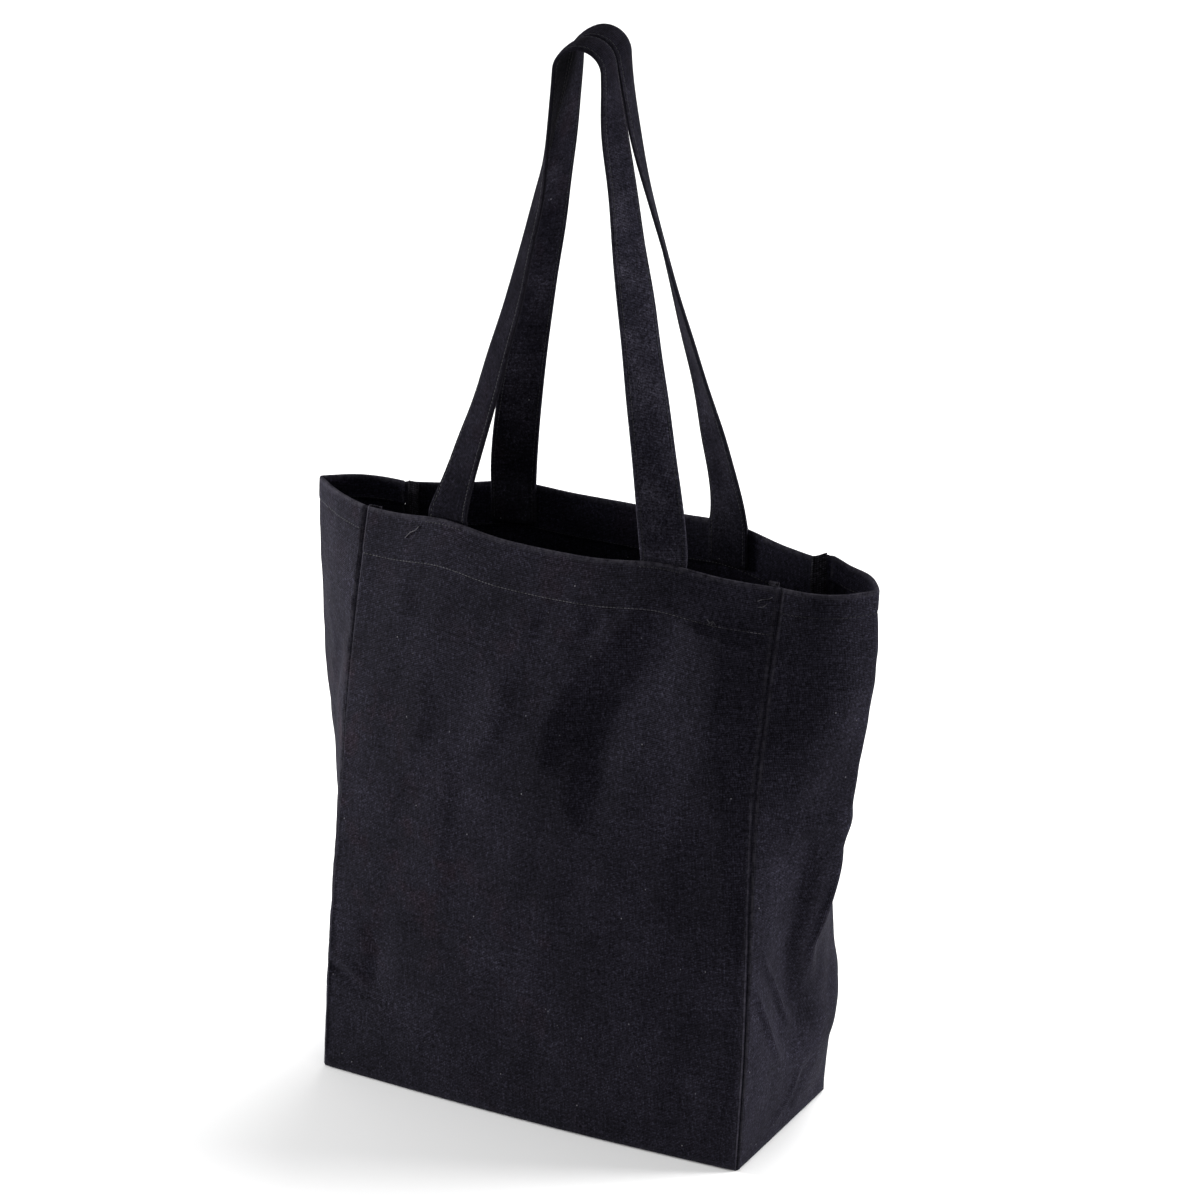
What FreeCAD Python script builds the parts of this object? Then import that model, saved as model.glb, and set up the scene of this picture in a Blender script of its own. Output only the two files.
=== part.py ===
import FreeCAD, Part
import math
import os

from FreeCAD import Vector

# Canvas tote bag with a boxed base, two side gussets and two long shoulder straps.
# Row frame, millimetres: X along the front panel, the front faces -Y, Z up.
# The origin is on the floor under the middle of the base.
# The bag stands open: both gussets are folded outwards at the mouth and the
# straps stand up, leaning together at the top.

# ---- driving dimensions --------------------------------------------------
BASE_WIDTH = 300.0          # seam to seam along X at the floor
BASE_DEPTH = 124.0          # front to back at the floor
MOUTH_HEIGHT = 367.0        # the four corners of the mouth above the floor
CLOTH = 1.0                 # one layer of canvas
HEM_LAYERS = 1.6            # the turned-in layers of a hem
HEM_DEPTH = 29.5            # front and back hems
GUSSET_HEM_DEPTH = 16.0     # gusset hems
SEAM_ALLOWANCE = 9.0        # width of the cut edges inside each seam
SEAM_LAYERS = 2.0           # the two cut edges of a seam, pressed to one side
STRAP_WIDTH = 30.0          # at the hem
STRAP_WIDTH_TOP = 27.0      # where the strap is pinched under its own pull
STRAP_THICKNESS = 2.6       # canvas folded into four layers
STRAP_SPREAD = 76.0         # each strap leg from its strap's middle, at the hem
STRAP_TOP = 679.0           # outer face of the strap at its highest point
ARCH_RADIUS = 15.5          # middle of the strap where it turns over
CLEARANCE = 0.6             # free strap above the hem's edge
STITCH_LENGTH = 2.8
STITCH_PITCH = 5.0
STITCH_WIDTH = 0.6
STITCH_HEIGHT = 0.4
STITCH_GAP = 0.02           # thread lies on the cloth without cutting into it

# shape of the open bag, as millimetres that a height fraction t scales
CORNER_DRAW_IN = 5.5        # the upright seams draw in above the base
FRONT_LEAN = 42.0           # the front panel leans back by this much
FRONT_TOP_LEAN = 17.0       # and by this much more near the mouth
FRONT_CROWN = 16.0          # the front panel bows out between its seams
BACK_SWELL = 9.0            # the back seams swell out above the base
BACK_LEAN = 24.0            # and come forward again to the mouth
BACK_CROWN = 8.0
BACK_MOUTH_CROWN = 20.0
HEM_LIFT = 4.5              # the straps pull the hem up
HEM_LIFT_WIDTH = 30.0
MOUTH_RISE = 2.0
BACK_RIGHT_PUSH = (8.0, 3.0)    # the back right corner of the mouth stands out, along X and Y
# ridge: how far the gusset's fold stands out at the mouth, and where along Y;
# tuck: how far the fold falls in again low down; low_bow: the swell behind it there
GUSSETS = {
    "left": {"sign": -1.0, "ridge": 48.0, "ridge_y": 29.0, "front_bow": 3.0, "back_bow": 7.0,
             "low_bow": 3.0, "tuck": 2.0},
    "right": {"sign": 1.0, "ridge": 48.0, "ridge_y": 22.0, "front_bow": 10.0, "back_bow": 9.0,
              "low_bow": 12.0, "tuck": 7.0},
}
# straps: their middle along the hem, the middle of the arch at the top, and for the
# left (-1) and right (1) leg how stiffly it leaves the hem and the arch
STRAPS = {
    "front": {"middle": -6.0, "apex": (-3.0, 23.0), "pulls": {-1.0: (0.1, 1.3), 1.0: (0.25, 0.8)}},
    "back": {"middle": 0.0, "apex": (-7.7, 50.6), "pulls": {-1.0: (0.7, 0.5), 1.0: (0.5, 0.9)}},
}
ARCH_TURN = math.radians(10.0)      # the arch is turned about Z
ARCH_LEAN = math.radians(6.0)       # the legs leave the arch this far off upright
LEG_STEPS = 14
ARCH_STEPS = 8

COLUMNS_PANEL = 12
COLUMNS_GUSSET = 10
ROWS = 9
STEP = 0.001


# ---- small tools -----------------------------------------------------------
def ease(value, low, high):
    """0 below low, 1 above high, smooth between."""
    share = min(1.0, max(0.0, (value - low) / (high - low)))
    return share * share * (3.0 - 2.0 * share)


def bump(value, centre, width):
    return math.exp(-((value - centre) / width) ** 2)


def through(points, parameters):
    """A spline through points, at the given parameters."""
    curve = Part.BSplineCurve()
    curve.interpolate(Points=points, Parameters=parameters)
    return curve


def surface_through(rows, across, up):
    """A spline surface through a grid; equal edge points give equal edges."""
    row_curves = [through(row, across) for row in rows]
    columns = zip(*[curve.getPoles() for curve in row_curves])
    column_curves = [through(list(column), up) for column in columns]
    poles = [curve.getPoles() for curve in column_curves]
    row = row_curves[0]
    column = column_curves[0]
    surface = Part.BSplineSurface()
    surface.buildFromPolesMultsKnots(
        poles, row.getMultiplicities(), column.getMultiplicities(),
        row.getKnots(), column.getKnots(), False, False, row.Degree, column.Degree)
    return surface


def ruled(first, second):
    """The face of straight lines between two splines that share their knots."""
    surface = Part.BSplineSurface()
    surface.buildFromPolesMultsKnots(
        [first.getPoles(), second.getPoles()], [2, 2], first.getMultiplicities(),
        [0.0, 1.0], first.getKnots(), False, False, 1, first.Degree)
    return surface.toShape()


def closed_solid(faces):
    shell = Part.makeShell(faces)
    shell.sewShape()
    solid = Part.makeSolid(shell)
    if solid.Volume < 0:
        solid.reverse()
    return solid


def solid_between(outer, inner):
    """The solid between two surfaces over the same parameters."""
    low_u, high_u, low_v, high_v = outer.bounds()
    faces = [outer.toShape(), inner.toShape()]
    for u in (low_u, high_u):
        faces.append(ruled(outer.uIso(u), inner.uIso(u)))
    for v in (low_v, high_v):
        faces.append(ruled(outer.vIso(v), inner.vIso(v)))
    return closed_solid(faces)


def flat(vector):
    """The level part of a vector, one unit long."""
    level = Vector(vector.x, vector.y, 0.0)
    level.normalize()
    return level


# ---- shape of the open bag ----------------------------------------------------
def corner_x(t):
    return BASE_WIDTH / 2.0 - CORNER_DRAW_IN * ease(t, 0.15, 0.65)


def front_corner_y(t):
    top = max(0.0, (t - 0.63) / 0.37)
    return -BASE_DEPTH / 2.0 + FRONT_LEAN * t + FRONT_TOP_LEAN * top ** 1.5


def back_corner_y(t):
    return BASE_DEPTH / 2.0 + BACK_SWELL * ease(t, 0.0, 0.25) - BACK_LEAN * ease(t, 0.35, 1.0)


def height(t):
    return CLOTH + (MOUTH_HEIGHT - CLOTH) * t


def crown(u):
    return math.sin(math.pi * min(1.0, max(0.0, u)))


def hem_lift(strap, u, t):
    """Rise of a panel's upper edge, most where the strap holds it."""
    x = abs((2.0 * u - 1.0) * corner_x(1.0) - STRAPS[strap]["middle"])
    pull = HEM_LIFT * math.exp(-((x - STRAP_SPREAD) / HEM_LIFT_WIDTH) ** 2)
    pull = pull * (1.0 - (2.0 * u - 1.0) ** 8)
    return (pull + MOUTH_RISE * math.sin(math.pi * u)) * ease(t, 0.5, 1.0)


def front_point(u, t):
    """A point of the front panel's outer face; u runs from the left seam."""
    bow = FRONT_CROWN * (1.0 - (1.0 - t) ** 3) * crown(u)
    return Vector((2.0 * u - 1.0) * corner_x(t), front_corner_y(t) - bow,
                  height(t) + hem_lift("front", u, t))


def back_right_push(u, t):
    """How far the back right corner stands out: most at the mouth and at the seam."""
    share = ease(t, 0.45, 1.0) * max(0.0, u) ** 8
    return Vector(BACK_RIGHT_PUSH[0] * share, BACK_RIGHT_PUSH[1] * share, 0.0)


def back_point(u, t):
    bow = BACK_CROWN * (1.0 - (1.0 - t) ** 3) + BACK_MOUTH_CROWN * ease(t, 0.4, 1.0)
    point = Vector((2.0 * u - 1.0) * corner_x(t), back_corner_y(t) + bow * crown(u),
                   height(t) + hem_lift("back", u, t))
    return point + back_right_push(u, t)


def gusset_point(side, u, t):
    """A point of a gusset's outer face; u runs from the front seam to the back seam."""
    shape = GUSSETS[side]
    sign = shape["sign"]
    spread = math.sin(math.pi / 2.0 * t ** 1.15)
    front = Vector(sign * corner_x(t), front_corner_y(t), 0.0)
    back = Vector(sign * corner_x(t), back_corner_y(t), 0.0)
    if side == "right":
        back = back + back_right_push(1.0, t)
    stand = shape["ridge"] * spread - shape["tuck"] * bump(t, 0.30, 0.12)
    ridge = Vector(sign * (BASE_WIDTH / 2.0 + stand), shape["ridge_y"] * t, 0.0)
    if u <= 0.5:
        start, end, share = front, ridge, u / 0.5
        bow = shape["front_bow"] * ease(t, 0.5, 1.0)
    else:
        start, end, share = ridge, back, (u - 0.5) / 0.5
        bow = shape["back_bow"] * ease(t, 0.35, 1.0) + shape["low_bow"] * bump(t, 0.20, 0.13)
    leg = end - start
    outward = flat(Vector(sign * leg.y, -sign * leg.x, 0.0))
    point = start + leg * share + outward * (bow * math.sin(math.pi * share))
    return Vector(point.x, point.y, height(t))


PANELS = {
    "front": {"point": front_point, "outward": 1.0, "columns": COLUMNS_PANEL},
    "back": {"point": back_point, "outward": -1.0, "columns": COLUMNS_PANEL},
    "left": {"point": lambda u, t: gusset_point("left", u, t), "outward": -1.0,
             "columns": COLUMNS_GUSSET},
    "right": {"point": lambda u, t: gusset_point("right", u, t), "outward": 1.0,
              "columns": COLUMNS_GUSSET},
}
# which neighbour shares the upright seam at u = 0 and at u = 1, and its u there
NEIGHBOURS = {
    "front": (("left", 0.0), ("right", 0.0)),
    "back": (("left", 1.0), ("right", 1.0)),
    "left": (("front", 0.0), ("back", 0.0)),
    "right": (("front", 1.0), ("back", 1.0)),
}


def inward(panel, u, t):
    """Level unit vector into the bag, square to the panel."""
    point = PANELS[panel]["point"]
    before = point(max(0.0, u - STEP), t)
    after = point(min(1.0, u + STEP), t)
    along = after - before
    sign = PANELS[panel]["outward"]
    return flat(Vector(-sign * along.y, sign * along.x, 0.0))


def layer_direction(panel, u, t):
    """Where a layer's point lies per millimetre of depth; mitred at the seams."""
    own = inward(panel, u, t)
    if u > 0.0 and u < 1.0:
        return own
    neighbour, its_u = NEIGHBOURS[panel][int(round(u))]
    other = inward(neighbour, its_u, t)
    return (own + other) * (1.0 / (1.0 + own.dot(other)))


def panel_surface(panel, depth):
    """The panel's face at a depth under its outer face."""
    columns = PANELS[panel]["columns"]
    across = [column / columns for column in range(columns + 1)]
    up = [row / ROWS for row in range(ROWS + 1)]
    rows = []
    for t in up:
        row = []
        for u in across:
            row.append(PANELS[panel]["point"](u, t) + layer_direction(panel, u, t) * depth)
        rows.append(row)
    return surface_through(rows, across, up)


def layer(panel, outer_depth, inner_depth, window=(0.0, 1.0, 0.0, 1.0)):
    """One layer of cloth on a panel between two depths, inside a window (u, u, t, t)."""
    outer = panel_surface(panel, outer_depth)
    inner = panel_surface(panel, inner_depth)
    if window != (0.0, 1.0, 0.0, 1.0):
        outer.segment(*window)
        inner.segment(*window)
    return solid_between(outer, inner)


def share_of_height(length):
    return length / (MOUTH_HEIGHT - CLOTH)


def seam_share(panel):
    """The seam allowance as a share of the panel's width."""
    width = BASE_DEPTH if panel in GUSSETS else BASE_WIDTH
    return SEAM_ALLOWANCE / width


# ---- body ----------------------------------------------------------------------
def make_panel(panel):
    return layer(panel, 0.0, CLOTH)


def make_bottom():
    return Part.makeBox(BASE_WIDTH, BASE_DEPTH, CLOTH, Vector(-BASE_WIDTH / 2.0, -BASE_DEPTH / 2.0, 0.0))


def make_hem(panel):
    depth = GUSSET_HEM_DEPTH if panel in GUSSETS else HEM_DEPTH
    edge = seam_share(panel)
    window = (edge, 1.0 - edge, 1.0 - share_of_height(depth), 1.0)
    return layer(panel, CLOTH, CLOTH + HEM_LAYERS, window)


def make_upright_seam(panel, at_right):
    """Cut edges of an upright seam, pressed onto the front or back panel."""
    edge = seam_share(panel)
    window = (1.0 - edge, 1.0, 0.0, 1.0) if at_right else (0.0, edge, 0.0, 1.0)
    return layer(panel, CLOTH, CLOTH + SEAM_LAYERS, window)


def make_base_seam(panel):
    """Cut edges of a base seam, turned up against a panel."""
    edge = seam_share(panel)
    window = (edge, 1.0 - edge, 0.0, share_of_height(SEAM_ALLOWANCE))
    return layer(panel, CLOTH, CLOTH + SEAM_LAYERS, window)


def strap_share(strap, sign):
    """Where a strap leg crosses the hem, as a share of the panel's width."""
    return 0.5 + (STRAPS[strap]["middle"] + sign * STRAP_SPREAD) / (2.0 * corner_x(1.0))


def make_strap_end(panel, sign):
    """The sewn end of a strap, flat on the inside of the hem."""
    half = STRAP_WIDTH / (4.0 * corner_x(1.0))
    middle = strap_share(panel, sign)
    depth = CLOTH + HEM_LAYERS
    window = (middle - half, middle + half, 1.0 - share_of_height(HEM_DEPTH - 3.0), 1.0)
    return layer(panel, depth, depth + STRAP_THICKNESS, window)


# ---- straps -----------------------------------------------------------------------
def strap_root(panel, sign):
    """Middle of the strap where it leaves the hem, and the hem's level direction there."""
    u = strap_share(panel, sign)
    depth = CLOTH + HEM_LAYERS + STRAP_THICKNESS / 2.0
    edge = PANELS[panel]["point"](u, 1.0)
    into_bag = inward(panel, u, 1.0)
    point = edge + into_bag * depth + Vector(0.0, 0.0, CLEARANCE)
    return point, into_bag * -1.0


def hermite(start, start_pull, end, end_pull, s):
    """A point of the cubic between two points with given end directions, and its direction."""
    point = (start * ((1.0 + 2.0 * s) * (1.0 - s) ** 2) + start_pull * (s * (1.0 - s) ** 2)
             + end * (s * s * (3.0 - 2.0 * s)) + end_pull * (s * s * (s - 1.0)))
    direction = ((end - start) * (6.0 * s * (1.0 - s)) + start_pull * (3.0 * s * s - 4.0 * s + 1.0)
                 + end_pull * (3.0 * s * s - 2.0 * s))
    direction.normalize()
    return point, direction


def arch_section(centre, angle):
    """Middle and outward direction of the strap on its arch, at an angle from level."""
    along = Vector(math.cos(ARCH_TURN), math.sin(ARCH_TURN), 0.0)
    outward = along * math.cos(angle) + Vector(0.0, 0.0, math.sin(angle))
    return centre + outward * ARCH_RADIUS, outward


def leg_stations(name, sign, centre):
    """Sections of one strap leg from the hem up to the arch."""
    root, root_out = strap_root(name, sign)
    angle = ARCH_LEAN if sign > 0.0 else math.pi - ARCH_LEAN
    top, top_out = arch_section(centre, angle)
    span = (top - root).Length
    along = Vector(math.cos(ARCH_TURN), math.sin(ARCH_TURN), 0.0)
    top_rise = Vector(0.0, 0.0, math.cos(ARCH_LEAN)) - along * (sign * math.sin(ARCH_LEAN))
    root_angle = math.atan2(root_out.y, root_out.x)
    top_angle = math.atan2(sign * along.y, sign * along.x)
    turn = (top_angle - root_angle + math.pi) % (2.0 * math.pi) - math.pi
    start_pull, end_pull = STRAPS[name]["pulls"][sign]
    stations = []
    for step in range(LEG_STEPS):
        s = step / LEG_STEPS
        point, rise = hermite(root, Vector(0.0, 0.0, start_pull * span),
                              top, top_rise * (end_pull * span), s)
        outward = Vector(math.cos(root_angle + turn * s), math.sin(root_angle + turn * s), 0.0)
        if step > 0:
            outward = outward - rise * outward.dot(rise)
        outward.normalize()
        across = outward.cross(rise) * -sign
        across.normalize()
        width = STRAP_WIDTH + (STRAP_WIDTH_TOP - STRAP_WIDTH) * ease(s, 0.0, 0.4)
        stations.append((point, across, outward, width))
    return stations


def strap_stations(name):
    """Sections along a strap: centre, across (unit), outward (unit) and width."""
    apex_x, apex_y = STRAPS[name]["apex"]
    centre = Vector(apex_x, apex_y, STRAP_TOP - STRAP_THICKNESS / 2.0 - ARCH_RADIUS)
    across = Vector(-math.sin(ARCH_TURN), math.cos(ARCH_TURN), 0.0)
    arch = []
    for step in range(ARCH_STEPS + 1):
        angle = math.pi - ARCH_LEAN - (math.pi - 2.0 * ARCH_LEAN) * step / ARCH_STEPS
        point, outward = arch_section(centre, angle)
        arch.append((point, across, outward, STRAP_WIDTH_TOP))
    return leg_stations(name, -1.0, centre) + arch + leg_stations(name, 1.0, centre)[::-1]


def make_strap(name):
    stations = strap_stations(name)
    corners = [[], [], [], []]
    for centre, across, outward, width in stations:
        side = across * (width / 2.0)
        face = outward * (STRAP_THICKNESS / 2.0)
        for index, point in enumerate((centre - side - face, centre + side - face,
                                       centre + side + face, centre - side + face)):
            corners[index].append(point)
    parameters = [index / (len(stations) - 1) for index in range(len(stations))]
    edges = [through(points, parameters) for points in corners]
    faces = [ruled(edges[index], edges[(index + 1) % 4]) for index in range(4)]
    for end in (0, -1):
        faces.append(Part.Face(Part.makePolygon([points[end] for points in corners] + [corners[0][end]])))
    return closed_solid(faces)


# ---- thread -------------------------------------------------------------------------
def stitch(surface, u, v):
    """One stitch lying level on a surface's outer side."""
    point = surface.value(u, v)
    along = surface.value(min(1.0, u + STEP), v) - surface.value(max(0.0, u - STEP), v)
    up = surface.value(u, min(1.0, v + STEP)) - surface.value(u, max(0.0, v - STEP))
    along.normalize()
    out = along.cross(up)
    out.normalize()
    up = out.cross(along)
    box = Part.makeBox(STITCH_LENGTH, STITCH_WIDTH, STITCH_HEIGHT,
                       Vector(-STITCH_LENGTH / 2.0, -STITCH_WIDTH / 2.0, STITCH_GAP))
    matrix = FreeCAD.Matrix(along.x, up.x, out.x, point.x, along.y, up.y, out.y, point.y,
                            along.z, up.z, out.z, point.z, 0.0, 0.0, 0.0, 1.0)
    return box.transformGeometry(matrix)


def stitch_row(panel, depth_below_edge, low, high):
    """Stitches along a panel, at a depth below the mouth, between two shares of its width."""
    surface = panel_surface(panel, 0.0)
    width = BASE_DEPTH if panel in GUSSETS else 2.0 * corner_x(1.0)
    count = max(2, int((high - low) * width / STITCH_PITCH))
    v = 1.0 - share_of_height(depth_below_edge)
    flip = PANELS[panel]["outward"] < 0
    row = []
    for index in range(count):
        u = low + (high - low) * (index + 0.5) / count
        made = stitch(surface, u, v)
        if flip:
            out = inward(panel, u, v) * -(2.0 * STITCH_GAP + STITCH_HEIGHT)
            made.translate(out)
        row.append(made)
    return row


def make_hem_stitching(panel):
    depth = GUSSET_HEM_DEPTH if panel in GUSSETS else HEM_DEPTH
    return Part.makeCompound(stitch_row(panel, depth - 1.5, 0.03, 0.97))


def make_strap_stitching(panel):
    half = STRAP_WIDTH / (4.0 * corner_x(1.0))
    rows = []
    for sign in (-1.0, 1.0):
        middle = strap_share(panel, sign)
        rows.extend(stitch_row(panel, 3.0, middle - half, middle + half))
    return Part.makeCompound(rows)


# ---- the whole bag --------------------------------------------------------------------
def build():
    nodes = {}
    nodes["front_panel"] = make_panel("front")
    nodes["back_panel"] = make_panel("back")
    nodes["left_gusset"] = make_panel("left")
    nodes["right_gusset"] = make_panel("right")
    nodes["bottom_panel"] = make_bottom()
    nodes["front_hem"] = make_hem("front")
    nodes["back_hem"] = make_hem("back")
    nodes["left_gusset_hem"] = make_hem("left")
    nodes["right_gusset_hem"] = make_hem("right")
    for panel in ("front", "back"):
        nodes[panel + "_left_seam"] = make_upright_seam(panel, False)
        nodes[panel + "_right_seam"] = make_upright_seam(panel, True)
        nodes[panel + "_handle"] = make_strap(panel)
        nodes[panel + "_handle_left_end"] = make_strap_end(panel, -1.0)
        nodes[panel + "_handle_right_end"] = make_strap_end(panel, 1.0)
        nodes[panel + "_strap_stitching"] = make_strap_stitching(panel)
    for panel in ("front", "back", "left", "right"):
        nodes[panel + "_base_seam"] = make_base_seam(panel)
        label = panel + "_gusset" if panel in GUSSETS else panel + "_hem"
        nodes[label + "_stitching"] = make_hem_stitching(panel)
    return nodes


def main():
    os.makedirs("parts", exist_ok=True)
    for name, shape in build().items():
        shape.exportStep(os.path.join("parts", name + ".step"))
        print(name, "valid", shape.isValid(), "solids", len(shape.Solids), "volume", round(shape.Volume, 1))


main()
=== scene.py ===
import math

import bmesh
import bpy
import numpy as np
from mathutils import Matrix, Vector


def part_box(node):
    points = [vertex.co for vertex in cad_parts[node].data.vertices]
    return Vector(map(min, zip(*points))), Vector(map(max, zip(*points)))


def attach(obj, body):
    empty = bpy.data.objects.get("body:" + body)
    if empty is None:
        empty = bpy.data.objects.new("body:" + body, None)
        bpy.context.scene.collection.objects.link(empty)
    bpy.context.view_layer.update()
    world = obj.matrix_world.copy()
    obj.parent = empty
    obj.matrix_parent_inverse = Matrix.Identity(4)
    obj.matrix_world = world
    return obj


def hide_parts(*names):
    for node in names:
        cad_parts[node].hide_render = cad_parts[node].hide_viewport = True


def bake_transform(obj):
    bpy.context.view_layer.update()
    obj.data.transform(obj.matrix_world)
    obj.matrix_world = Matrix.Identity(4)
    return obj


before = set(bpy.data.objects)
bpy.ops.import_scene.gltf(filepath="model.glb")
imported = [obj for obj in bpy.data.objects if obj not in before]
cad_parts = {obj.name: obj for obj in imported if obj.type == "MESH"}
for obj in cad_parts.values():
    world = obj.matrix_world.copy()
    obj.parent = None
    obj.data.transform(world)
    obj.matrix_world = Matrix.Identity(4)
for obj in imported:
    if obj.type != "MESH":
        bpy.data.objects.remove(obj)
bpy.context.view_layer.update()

# Canvas tote bag. Shapes are worked out in millimetres in the row frame and turned into
# metres when a mesh is made. u runs across a panel from seam to seam, t runs up it.
# "Depth" is measured into the bag from a panel's outer face.

MM = 0.001

# ---- driving sizes, from the frame ----
base_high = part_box("bottom_panel")[1]
HALF_WIDTH = base_high.x / MM
HALF_DEPTH = base_high.y / MM
CLOTH = base_high.z / MM
MOUTH_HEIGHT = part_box("left_gusset")[1].z / MM
WALL = MOUTH_HEIGHT - CLOTH     # height of the walls above the base cloth
RIDGE_LEFT = -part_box("left_gusset")[0].x / MM
RIDGE_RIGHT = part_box("right_gusset")[1].x / MM
STRAP_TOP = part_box("front_handle")[1].z / MM

HEM_LAYERS = 1.6
HEM_DEPTH = 29.5
GUSSET_HEM_DEPTH = 16.0
SEAM_ALLOWANCE = 9.0
STRAP_WIDTH = 30.0
STRAP_WIDTH_TOP = 27.0
STRAP_THICKNESS = 2.6
STRAP_SPREAD = 76.0
ARCH_RADIUS = 15.5
CLEARANCE = 0.6

CORNER_DRAW_IN = 5.5
FRONT_LEAN = 42.0
FRONT_TOP_LEAN = 17.0
FRONT_CROWN = 16.0
BACK_SWELL = 9.0
BACK_LEAN = 24.0
BACK_CROWN = 8.0
BACK_MOUTH_CROWN = 20.0
HEM_LIFT = 4.5
HEM_LIFT_WIDTH = 30.0
MOUTH_RISE = 2.0
BACK_RIGHT_PUSH = (8.0, 3.0)    # the back right corner of the mouth is pushed out, in x and y
BACK_RIGHT_LIFT = 4.5           # and stands up by this much
GUSSETS = {
    "left": {"sign": -1.0, "ridge": RIDGE_LEFT - HALF_WIDTH, "ridge_y": 29.0,
             "front_bow": 3.0, "back_bow": 7.0, "low_bow": 3.0, "tuck": 2.0},
    "right": {"sign": 1.0, "ridge": RIDGE_RIGHT - HALF_WIDTH, "ridge_y": 22.0,
              "front_bow": 10.0, "back_bow": 9.0, "low_bow": 12.0, "tuck": 7.0},
}
# straps: their middle along the hem, the middle of the arch, and for the left (-1) and right (1)
# leg how stiffly it leaves the hem and the arch, and how unevenly it turns on its way up
STRAPS = {
    "front": {"middle": -6.0, "apex": (-3.0, 23.0), "pulls": {-1.0: (0.1, 1.3), 1.0: (0.25, 0.8)},
              "twist": {-1.0: (1.0, 0.07, 0.06), 1.0: (0.9, 0.0, 0.0)}},
    "back": {"middle": 0.0, "apex": (-7.7, 50.6), "pulls": {-1.0: (0.7, 0.5), 1.0: (0.5, 0.9)},
             "twist": {-1.0: (1.0, 0.0, 0.0), 1.0: (0.8, 0.0, 0.0)}},
}
ARCH_TURN = math.radians(10.0)
ARCH_LEAN = math.radians(6.0)
ARCH_ALONG = Vector((math.cos(ARCH_TURN), math.sin(ARCH_TURN), 0.0))
ARCH_ACROSS = Vector((-math.sin(ARCH_TURN), math.cos(ARCH_TURN), 0.0))
LEG_STEPS = 90
ARCH_STEPS = 26

# sewing
LIP = 1.4                   # radius of the cloth's turn into an upright seam
RIM = 2.2                   # radius of the cloth's turn into the base seam
BASE_BOW = 4.5              # the front of the base bows out in its middle
BASE_INSET = 1.4            # the base cloth ends this far inside the walls' outer faces
BASE_CLEAR = 0.12           # the middle of the base stands this far off the floor
BASE_CLOTH = 0.85
SEAM_START = 1.9            # the cut edges start this far from their upright seam
SEAM_THICKNESS = 1.7        # two layers of cut cloth
STITCH = 2.1
STITCH_PITCH = 2.5
THREAD = 0.33
LOOSE_THREAD = 0.24         # radius of a loose end of thread
SINK = 0.55                 # how far a row of stitches pulls the cloth in
HEM_ROW = 1.5               # the hem's stitches lie this far above its lower edge
HOLD_ROW = 3.2              # the stitches that hold a strap lie this far below the mouth
HOLD_ROW_REACH = 14.5       # and reach this far to both sides of the strap's middle
STRAP_EDGE_ROW = 2.6        # topstitching in from the edge of a strap
STRAP_SINK = 0.28           # how far it pulls the strap's faces in
STRAP_FULLNESS = 0.10       # how far a strap's faces swell in their middle
FACE_SHIFT = 40.0           # the two faces of a strap show different parts of the weave


# ---- small tools ----
def ease(value, low, high):
    share = np.clip((value - low) / (high - low), 0.0, 1.0)
    return share * share * (3.0 - 2.0 * share)


def bump(value, centre, width):
    return np.exp(-((value - centre) / width) ** 2)


def stack(x, y, z):
    return np.stack(np.broadcast_arrays(x, y, z), -1).astype(float)


def unit(vectors):
    return vectors / np.maximum(np.linalg.norm(vectors, axis=-1, keepdims=True), 1e-12)


# ---- the bag's shape, as in the CAD model ----
def corner_x(t):
    return HALF_WIDTH - CORNER_DRAW_IN * ease(t, 0.15, 0.65)


def front_corner_y(t):
    return -HALF_DEPTH + FRONT_LEAN * t + FRONT_TOP_LEAN * np.maximum(0.0, (t - 0.63) / 0.37) ** 1.5


def back_corner_y(t):
    return HALF_DEPTH + BACK_SWELL * ease(t, 0.0, 0.25) - BACK_LEAN * ease(t, 0.35, 1.0)


def height(t):
    return CLOTH + WALL * t


def rise(t):
    """How far above the base the curve of the panels has opened out, 0 to 1."""
    return 1.0 - (1.0 - np.clip(t, 0.0, 1.0)) ** 3


def hem_lift(strap, u, t):
    x = np.abs((2.0 * u - 1.0) * corner_x(1.0) - STRAPS[strap]["middle"])
    pull = HEM_LIFT * bump(x, STRAP_SPREAD, HEM_LIFT_WIDTH) * (1.0 - (2.0 * u - 1.0) ** 8)
    return (pull + MOUTH_RISE * np.sin(math.pi * u)) * ease(t, 0.5, 1.0)


def front_point(u, t):
    bow = FRONT_CROWN * rise(t) + BASE_BOW * (1.0 - ease(t, 0.0, 0.45))
    return stack((2.0 * u - 1.0) * corner_x(t), front_corner_y(t) - bow * np.sin(math.pi * u),
                 height(t) + hem_lift("front", u, t))


def lift_back_right(away, reach, t):
    """Lift of the mouth's back right corner, at a distance from the seam; it dies away over reach."""
    return BACK_RIGHT_LIFT * np.exp(-(away / reach) ** 2) * ease(t, 0.80, 1.0)


def push_back_right(u, t):
    """How far the back right corner is pushed out: most at the mouth and at the seam."""
    share = ease(t, 0.45, 1.0) * np.clip(u, 0.0, 1.0) ** 8
    return BACK_RIGHT_PUSH[0] * share, BACK_RIGHT_PUSH[1] * share


def back_point(u, t):
    bow = BACK_CROWN * rise(t) + BACK_MOUTH_CROWN * ease(t, 0.4, 1.0)
    push_x, push_y = push_back_right(u, t)
    lift = hem_lift("back", u, t) + lift_back_right((1.0 - u) * 2.0 * HALF_WIDTH, 6.0, t)
    x = (2.0 * u - 1.0) * corner_x(t) + push_x
    y = back_corner_y(t) + bow * np.sin(math.pi * u) + push_y
    return stack(x, y, height(t) + lift)


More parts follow.
